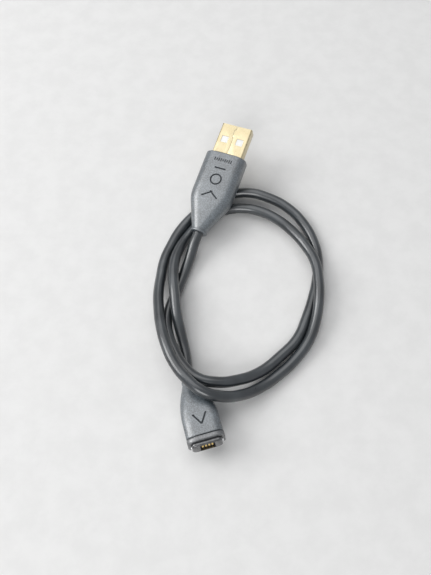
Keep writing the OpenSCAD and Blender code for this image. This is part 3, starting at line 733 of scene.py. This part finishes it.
def jacket(name, dark, light):
    """Extruded plastic: a slow ripple along the cord and a satin shine."""
    finish = Finish(name)
    cloud = finish.noise(9, 3, 0.5)
    pores = finish.noise(0.5, 2, 0.5)
    ripple = finish.noise(3.2, 2, 0.5)
    finish.relief(ripple * 0.8 + pores * 0.2, 0.05)
    return finish.made(Base_Color=finish.blend(cloud.between(0.3, 0.7), dark, light),
                       Roughness=0.26 + pores.between(0.35, 0.65) * 0.08 + cloud * 0.04,
                       Coat_Weight=0.24 + cloud.between(0.3, 0.7) * 0.12,
                       Coat_IOR=2.4, Coat_Roughness=0.22)


def hard_gloss(name, dark, light, place):
    """Hard glossy plastic, rubbed a little where it slides into the device."""
    finish = Finish(name, place)
    rubbed = finish.noise(0.25, 3, 0.6, stretch=(0.2, 1, 1))
    haze = finish.noise(1.5, 2, 0.5)
    finish.relief(rubbed, 0.004)
    return finish.made(Base_Color=finish.blend(haze.between(0.35, 0.7), dark, light),
                       Roughness=0.2 + rubbed.between(0.45, 0.7) * 0.12 + haze * 0.05,
                       Coat_Weight=0.55 + haze.between(0.35, 0.7) * 0.25,
                       Coat_IOR=2.2, Coat_Roughness=0.16)


def plain_plastic(name, dark, light, roughness, place):
    """Moulded plastic with faint flow marks, for the pieces inside."""
    finish = Finish(name, place)
    flow = finish.noise(1.6, 3, 0.55, stretch=(0.5, 1, 1), distortion=0.6)
    fine = finish.noise(0.2, 2, 0.5)
    finish.relief(fine, 0.01)
    return finish.made(Base_Color=finish.blend(flow.between(0.3, 0.7), dark, light),
                       Roughness=roughness + fine.between(0.3, 0.7) * 0.1)


def wire_skin(name, dark, light, place):
    """Extruded insulation: faint streaks along the wire and a soft shine."""
    finish = Finish(name, place)
    streak = finish.noise(0.22, 2, 0.5, stretch=(0.15, 1, 1))
    finish.relief(streak, 0.008)
    return finish.made(Base_Color=finish.blend(streak.between(0.35, 0.65), dark, light),
                       Roughness=0.34 + streak.between(0.3, 0.7) * 0.12)


# %% [markdown]
# ## Metals
# The shell's sheet is rolled before it is cut, and the rolls leave faint lines along the strip
# under the pale gold plating. Sliding in and out of sockets adds fine scratches the same way.
# Stretching noise along one axis makes such lines. Solder is duller and uneven, and the braid is
# a weave, drawn with two sets of bands that wind round the cord in opposite directions. Inside
# the charging plug is a lacquered board, and its tracks are bands of the same kind.

# %% Metals
BRAID_STRANDS, BRAID_WIND = 8, 5.5     # bands round the sleeve, and turn per millimetre
TRACK_WAVE, WEAVE_WAVE = 3.9, 9        # both in radians per millimetre


def rolled(name, dark, light, roughness, place, stretch=(0.06, 1, 1), size=0.16):
    """Sheet metal with lines of a given size, drawn out along the axis with the small stretch."""
    finish = Finish(name, place)
    line = finish.noise(size, 4, 0.6, stretch=stretch)
    smudge = finish.noise(3, 3, 0.55)
    scratch = finish.noise(0.09, 1, 0.5, stretch=(0.03, 1, 1)).between(0.66, 0.74)
    finish.relief(line * 0.7 - scratch * 0.5, 0.003)
    worn = line.between(0.3, 0.7) * 0.5 + smudge.between(0.35, 0.7) * 0.5
    return finish.made(Base_Color=finish.blend(worn, dark, light), Metallic=1,
                       Roughness=roughness + smudge.between(0.3, 0.7) * 0.08 + scratch * 0.12)


def solder(name, dark, light):
    """Dull, lumpy metal."""
    finish = Finish(name)
    lump = finish.noise(0.35, 3, 0.5)
    finish.relief(lump, 0.03)
    return finish.made(Base_Color=finish.blend(lump.between(0.3, 0.7), dark, light), Metallic=1,
                       Roughness=0.28 + lump.between(0.35, 0.7) * 0.25)


def braid(name, dark, light, place):
    """Two sets of bands that wind round the plug's middle line, one over the other."""
    finish = Finish(name, place)
    along, across, up = finish.parts()
    angle = across.of("ARCTAN2", up) * BRAID_STRANDS
    one = (angle + along * BRAID_WIND).of("SINE")
    two = (angle - along * BRAID_WIND).of("SINE")
    # Where neither band lies, in the gaps between the strands, the colour goes to the dark end:
    # painted shade between the strands.
    over = one.of("MAXIMUM", two).between(-0.2, 0.9)
    finish.relief(over, 0.08)
    return finish.made(Base_Color=finish.blend(over, dark, light), Metallic=1,
                       Roughness=0.5 - over * 0.2)


def board(name, dark, light, place):
    """A lacquered board: pale copper tracks show through green lacquer."""
    finish = Finish(name, place)
    along, across, _ = finish.parts()
    track = (across * TRACK_WAVE).of("COSINE").between(0.2, 0.5)
    weave = ((along * WEAVE_WAVE).of("SINE")
             * (across * WEAVE_WAVE).of("SINE")).between(-0.8, 0.8)
    pattern = track * 0.8 + weave * 0.2
    finish.relief(pattern, 0.02)
    return finish.made(Base_Color=finish.blend(pattern, dark, light),
                       Roughness=0.3 + weave * 0.1)


# %% [markdown]
# ## Giving every piece its finish
# New pieces take their finish by name, and the solids that stay visible or sit inside get theirs
# in their own material slots, because their meshes must not be touched. A solid's name begins
# with its plug and its kind, and the longest kind that fits is the one that counts.

# %% Finishes on pieces
# The blue-grey cast of GRAINED is painted: it stands in for the cool light that the black plastic
# mirrors, a painted reflection. The band's and the cord's colours below carry the same painted
# cast.
GRAINED = (0.022, 0.028, 0.034), (0.088, 0.116, 0.136)
GOLD = (0.62, 0.42, 0.13), (0.90, 0.68, 0.30)
WIRE_COLOURS = {"red": ((0.38, 0.012, 0.010), (0.55, 0.030, 0.022)),
                "white": ((0.66, 0.66, 0.63), (0.82, 0.82, 0.79)),
                "green": ((0.010, 0.17, 0.045), (0.025, 0.30, 0.085)),
                "black": ((0.014, 0.014, 0.015), (0.030, 0.030, 0.031))}
finishes = {
    # marks says where the engraved grooves of each plug get their painted shade.
    "grip": eroded("grip_eroded", *GRAINED, 0.10, USB_LIES, marks=(USB_T / 2, 12.5, 3.8)),
    "body": eroded("body_eroded", *GRAINED, 0.10, CHARGER_LIES, marks=(BODY_T / 2, 12, 3)),
    "band": eroded("band_satin", (0.026, 0.028, 0.031), (0.092, 0.098, 0.106), 0.07,
                   CHARGER_LIES),
    "cord": jacket("cord_satin", (0.012, 0.015, 0.018), (0.027, 0.034, 0.039)),
    "nose": hard_gloss("nose_gloss", (0.012, 0.012, 0.014), (0.024, 0.024, 0.027), CHARGER_LIES),
    "shell": rolled("shell_pale_gold", (0.55, 0.465, 0.285), (0.69, 0.60, 0.40), 0.26, USB_LIES),
    "blade": rolled("contact_gold_plate", *GOLD, 0.2, CHARGER_LIES, stretch=(0.2, 1, 1),
                    size=0.1),
    "leaf": rolled("latch_bright_steel", (0.52, 0.52, 0.53), (0.80, 0.80, 0.81), 0.2,
                   CHARGER_LIES, stretch=(1, 1, 0.1), size=0.1),
    "solder": solder("solder_dull", (0.42, 0.43, 0.44), (0.66, 0.66, 0.65)),
}
for piece, finish in ((grip, "grip"), (charger, "body"), (band, "band"), (cord, "cord"),
                      (nose, "nose"), (shell, "shell"), *((blade, "blade") for blade in blades),
                      *((leaf, "leaf") for leaf in leaves)):
    piece.data.materials.append(finishes[finish])

for plug, place in (("usb", USB_LIES), ("charger", CHARGER_LIES)):
    sheet = rolled(plug + "_tinned", (0.40, 0.41, 0.42), (0.66, 0.67, 0.68), 0.32, place)
    own = {
        # The braid's dark colour fills the gaps of the weave as painted shade.
        "braid_sleeve": braid(plug + "_braid", (0.16, 0.13, 0.10), (0.74, 0.68, 0.60), place),
        "inner_mould": plain_plastic(plug + "_mould", (0.62, 0.60, 0.52), (0.78, 0.76, 0.69),
                                     0.42, place),
        "solder_joints": finishes["solder"],
        "rear_shield": sheet,
        "crimp_ring": sheet,
        "contact": rolled(plug + "_plate", *GOLD, 0.22, place),
    }
    for colour, shades in WIRE_COLOURS.items():
        own["wire_" + colour] = wire_skin(f"{plug}_wire_{colour}", *shades, place)
    if plug == "usb":
        own.update({
            "overmould": finishes["grip"], "shell": finishes["shell"],
            "tongue": plain_plastic("tongue_white", (0.84, 0.84, 0.82), (0.92, 0.92, 0.90),
                                    0.34, place)})
    else:
        own.update({
            "overmould": finishes["body"], "nose": finishes["nose"],
            "flange": finishes["band"], "latch": finishes["leaf"],
            "circuit_board": board("board_lacquer", (0.015, 0.11, 0.045), (0.05, 0.26, 0.10),
                                   place)})
    for name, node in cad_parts.items():
        kind = max((k for k in own if name.startswith(plug + "_" + k)), key=len, default=None)
        if kind:
            for slot in node.material_slots:
                slot.material = own[kind]
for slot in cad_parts["cord_jacket"].material_slots:
    slot.material = finishes["cord"]
print("finishes made:", len(bpy.data.materials))

# %% [markdown]
# ## Floor and light
# The cable is shown on a plain pale floor. Black plastic has hardly any colour to light, so what
# shows its shape is what it mirrors. A large soft light high behind makes the upper faces shine,
# and two smaller ones, halfway up on the left and in front, draw a bright line along each strand
# and leave the right sides in shade. The room adds an even, weaker light from all round. Where
# the camera sees the room, and in anything that mirrors it or lets it through, it is brighter, so
# that the background is pale without more light on the cable.

# %% Floor
FLOOR_SIZE = 1.8
bpy.ops.object.select_all(action="DESELECT")
bpy.ops.mesh.primitive_plane_add(size=FLOOR_SIZE, location=(0, 0, 0))
floor = bpy.context.object
floor.name = "floor"
paper = Finish("floor_paper")
fibre = paper.noise(8, 4, 0.6)
floor.data.materials.append(paper.made(
    Base_Color=paper.blend(fibre.between(0.3, 0.7), (0.79, 0.785, 0.775), (0.83, 0.825, 0.815)),
    Roughness=0.7))

# %% Light
LAMP_AWAY = 1.2


def softbox(name, direction, size, watts):
    """A square area light that looks at the middle of the table. Sizes are in metres."""
    data = bpy.data.lights.new(name, "AREA")
    data.shape, data.size, data.energy = "SQUARE", size, watts
    light = bpy.data.objects.new(name, data)
    light.location = Vector(direction).normalized() * LAMP_AWAY
    light.rotation_euler = light.location.to_track_quat("Z", "Y").to_euler()
    bpy.context.scene.collection.objects.link(light)


softbox("overhead", (-0.24, 0.40, 0.88), size=1.32, watts=6.3)
softbox("left", (-0.79, 0.12, 0.60), size=0.68, watts=7.2)
softbox("front", (-0.24, -0.77, 0.59), size=0.68, watts=5.2)

# %% Room
ROOM_COLOUR = (0.93, 0.96, 1.0, 1)
ROOM_LIGHT, ROOM_SEEN = 0.24, 0.55
bpy.context.scene.world = bpy.data.worlds.new("room")
room = Network(bpy.context.scene.world, "Background")
looked_at, mirrored, let_through = (room.add("LightPath", output=f"Is {ray} Ray")
                                    for ray in ("Camera", "Glossy", "Transmission"))
seen = looked_at.of("MAXIMUM", mirrored.of("MAXIMUM", let_through))
room.set(Color=ROOM_COLOUR, Strength=seen.between(0, 1, ROOM_LIGHT, ROOM_SEEN))
bpy.context.scene.view_settings.view_transform = "Standard"
